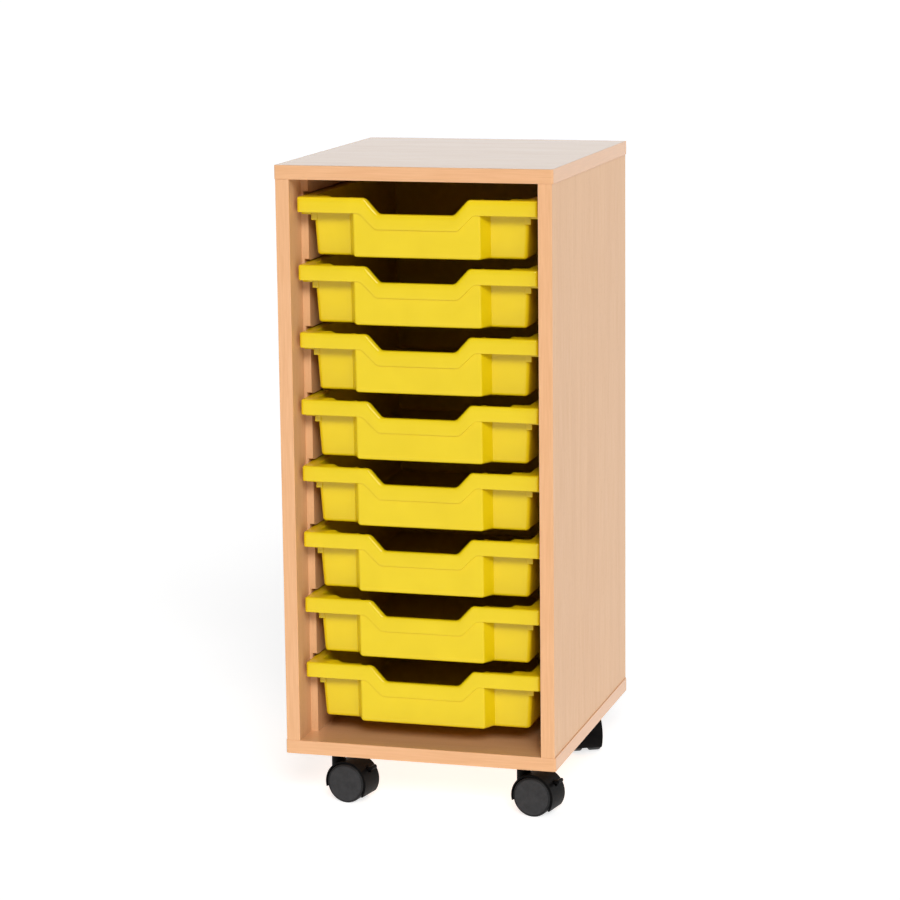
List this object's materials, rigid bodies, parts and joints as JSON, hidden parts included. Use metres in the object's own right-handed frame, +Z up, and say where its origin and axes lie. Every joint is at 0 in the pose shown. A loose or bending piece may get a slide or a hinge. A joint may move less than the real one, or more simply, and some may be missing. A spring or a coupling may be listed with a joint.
{
  "type": "tray storage unit",
  "caption": "Free-standing beech-faced school storage unit on swivel castors, with a column of shallow yellow pull-out plastic trays.",
  "frame": {"origin": "on the floor, under the middle of the carcass", "axes": "+Z up, the open front with the trays faces -Y, +X to the right of a person facing the front"},
  "size_m": [0.36, 0.405, 0.832],
  "materials": {
    "board": "melamine facing printed with beech grain, satin",
    "edging": "beech-coloured plastic edging, satin",
    "back_board": "thin fibreboard with a beech-coloured face",
    "runner_board": "beech-coloured board with routed grooves",
    "dowel_wood": "plain beech",
    "tray_plastic": "yellow moulded plastic, semi-gloss",
    "castor_plastic": "black moulded nylon",
    "wheel_plastic": "dark grey moulded nylon",
    "plate_steel": "zinc-plated steel",
    "screw_steel": "zinc-plated steel"
  },
  "bodies": {
    "carcass": {"top_panel": "board", "top_edging": "edging", "bottom_panel": "board", "bottom_edging": "edging", "left_side_panel": "board", "right_side_panel": "board", "left_side_edging": "edging", "right_side_edging": "edging", "back_panel": "back_board", "left_runner_board": "runner_board", "right_runner_board": "runner_board", "carcass_dowels": "dowel_wood", "runner_screws": "screw_steel", "back_panel_screws": "screw_steel", "front_left_castor_socket": "plate_steel", "front_left_castor_stem": "plate_steel", "front_right_castor_socket": "plate_steel", "front_right_castor_stem": "plate_steel", "rear_left_castor_socket": "plate_steel", "rear_left_castor_stem": "plate_steel", "rear_right_castor_socket": "plate_steel", "rear_right_castor_stem": "plate_steel"},
    "tray_1_body": {"tray_1": "tray_plastic"},
    "tray_2_body": {"tray_2": "tray_plastic"},
    "tray_3_body": {"tray_3": "tray_plastic"},
    "tray_4_body": {"tray_4": "tray_plastic"},
    "tray_5_body": {"tray_5": "tray_plastic"},
    "tray_6_body": {"tray_6": "tray_plastic"},
    "tray_7_body": {"tray_7": "tray_plastic"},
    "tray_8_body": {"tray_8": "tray_plastic"},
    "front_left_castor": {"front_left_castor_housing": "castor_plastic", "front_left_castor_axle": "plate_steel", "front_left_brake_lever_pin": "plate_steel"},
    "front_left_castor_near_wheel_body": {"front_left_castor_near_wheel": "wheel_plastic"},
    "front_left_castor_far_wheel_body": {"front_left_castor_far_wheel": "wheel_plastic"},
    "front_left_brake_lever_body": {"front_left_brake_lever": "castor_plastic"},
    "front_right_castor": {"front_right_castor_housing": "castor_plastic", "front_right_castor_axle": "plate_steel", "front_right_brake_lever_pin": "plate_steel"},
    "front_right_castor_near_wheel_body": {"front_right_castor_near_wheel": "wheel_plastic"},
    "front_right_castor_far_wheel_body": {"front_right_castor_far_wheel": "wheel_plastic"},
    "front_right_brake_lever_body": {"front_right_brake_lever": "castor_plastic"},
    "rear_left_castor": {"rear_left_castor_housing": "castor_plastic", "rear_left_castor_axle": "plate_steel"},
    "rear_left_castor_near_wheel_body": {"rear_left_castor_near_wheel": "wheel_plastic"},
    "rear_left_castor_far_wheel_body": {"rear_left_castor_far_wheel": "wheel_plastic"},
    "rear_right_castor": {"rear_right_castor_housing": "castor_plastic", "rear_right_castor_axle": "plate_steel"},
    "rear_right_castor_near_wheel_body": {"rear_right_castor_near_wheel": "wheel_plastic"},
    "rear_right_castor_far_wheel_body": {"rear_right_castor_far_wheel": "wheel_plastic"}
  },
  "joints": [
    {"name": "tray_1_slide", "type": "slide", "parent": "carcass", "child": "tray_1_body", "axis": [0, -1, 0], "range_m": [0, 0.26]},
    {"name": "tray_2_slide", "type": "slide", "parent": "carcass", "child": "tray_2_body", "axis": [0, -1, 0], "range_m": [0, 0.26]},
    {"name": "tray_3_slide", "type": "slide", "parent": "carcass", "child": "tray_3_body", "axis": [0, -1, 0], "range_m": [0, 0.26]},
    {"name": "tray_4_slide", "type": "slide", "parent": "carcass", "child": "tray_4_body", "axis": [0, -1, 0], "range_m": [0, 0.26]},
    {"name": "tray_5_slide", "type": "slide", "parent": "carcass", "child": "tray_5_body", "axis": [0, -1, 0], "range_m": [0, 0.26]},
    {"name": "tray_6_slide", "type": "slide", "parent": "carcass", "child": "tray_6_body", "axis": [0, -1, 0], "range_m": [0, 0.26]},
    {"name": "tray_7_slide", "type": "slide", "parent": "carcass", "child": "tray_7_body", "axis": [0, -1, 0], "range_m": [0, 0.26]},
    {"name": "tray_8_slide", "type": "slide", "parent": "carcass", "child": "tray_8_body", "axis": [0, -1, 0], "range_m": [0, 0.26]},
    {"name": "front_left_castor_swivel", "type": "hinge", "parent": "carcass", "child": "front_left_castor", "pos_m": [-0.125, -0.1525, 0.054], "axis": [0, 0, 1], "continuous": true},
    {"name": "front_left_castor_near_wheel_spin", "type": "hinge", "parent": "front_left_castor", "child": "front_left_castor_near_wheel_body", "pos_m": [-0.1053, -0.15597, 0.026], "axis": [0.1736, 0.9848, 0], "continuous": true},
    {"name": "front_left_castor_far_wheel_spin", "type": "hinge", "parent": "front_left_castor", "child": "front_left_castor_far_wheel_body", "pos_m": [-0.1053, -0.15597, 0.026], "axis": [0.1736, 0.9848, 0], "continuous": true},
    {"name": "front_left_brake_lever_press", "type": "hinge", "parent": "front_left_castor", "child": "front_left_brake_lever_body", "pos_m": [-0.09398, -0.15797, 0.04], "axis": [0.1736, 0.9848, 0], "range_deg": [0, 12]},
    {"name": "front_right_castor_swivel", "type": "hinge", "parent": "carcass", "child": "front_right_castor", "pos_m": [0.125, -0.1525, 0.054], "axis": [0, 0, 1], "continuous": true},
    {"name": "front_right_castor_near_wheel_spin", "type": "hinge", "parent": "front_right_castor", "child": "front_right_castor_near_wheel_body", "pos_m": [0.1447, -0.15597, 0.026], "axis": [0.1736, 0.9848, 0], "continuous": true},
    {"name": "front_right_castor_far_wheel_spin", "type": "hinge", "parent": "front_right_castor", "child": "front_right_castor_far_wheel_body", "pos_m": [0.1447, -0.15597, 0.026], "axis": [0.1736, 0.9848, 0], "continuous": true},
    {"name": "front_right_brake_lever_press", "type": "hinge", "parent": "front_right_castor", "child": "front_right_brake_lever_body", "pos_m": [0.15602, -0.15797, 0.04], "axis": [0.1736, 0.9848, 0], "range_deg": [0, 12]},
    {"name": "rear_left_castor_swivel", "type": "hinge", "parent": "carcass", "child": "rear_left_castor", "pos_m": [-0.125, 0.1525, 0.054], "axis": [0, 0, 1], "continuous": true},
    {"name": "rear_left_castor_near_wheel_spin", "type": "hinge", "parent": "rear_left_castor", "child": "rear_left_castor_near_wheel_body", "pos_m": [-0.10924, 0.14019, 0.026], "axis": [0.6157, 0.788, 0], "continuous": true},
    {"name": "rear_left_castor_far_wheel_spin", "type": "hinge", "parent": "rear_left_castor", "child": "rear_left_castor_far_wheel_body", "pos_m": [-0.10924, 0.14019, 0.026], "axis": [0.6157, 0.788, 0], "continuous": true},
    {"name": "rear_right_castor_swivel", "type": "hinge", "parent": "carcass", "child": "rear_right_castor", "pos_m": [0.125, 0.1525, 0.054], "axis": [0, 0, 1], "continuous": true},
    {"name": "rear_right_castor_near_wheel_spin", "type": "hinge", "parent": "rear_right_castor", "child": "rear_right_castor_near_wheel_body", "pos_m": [0.13439, 0.13484, 0.026], "axis": [0.8829, 0.4695, 0], "continuous": true},
    {"name": "rear_right_castor_far_wheel_spin", "type": "hinge", "parent": "rear_right_castor", "child": "rear_right_castor_far_wheel_body", "pos_m": [0.13439, 0.13484, 0.026], "axis": [0.8829, 0.4695, 0], "continuous": true}
  ]
}
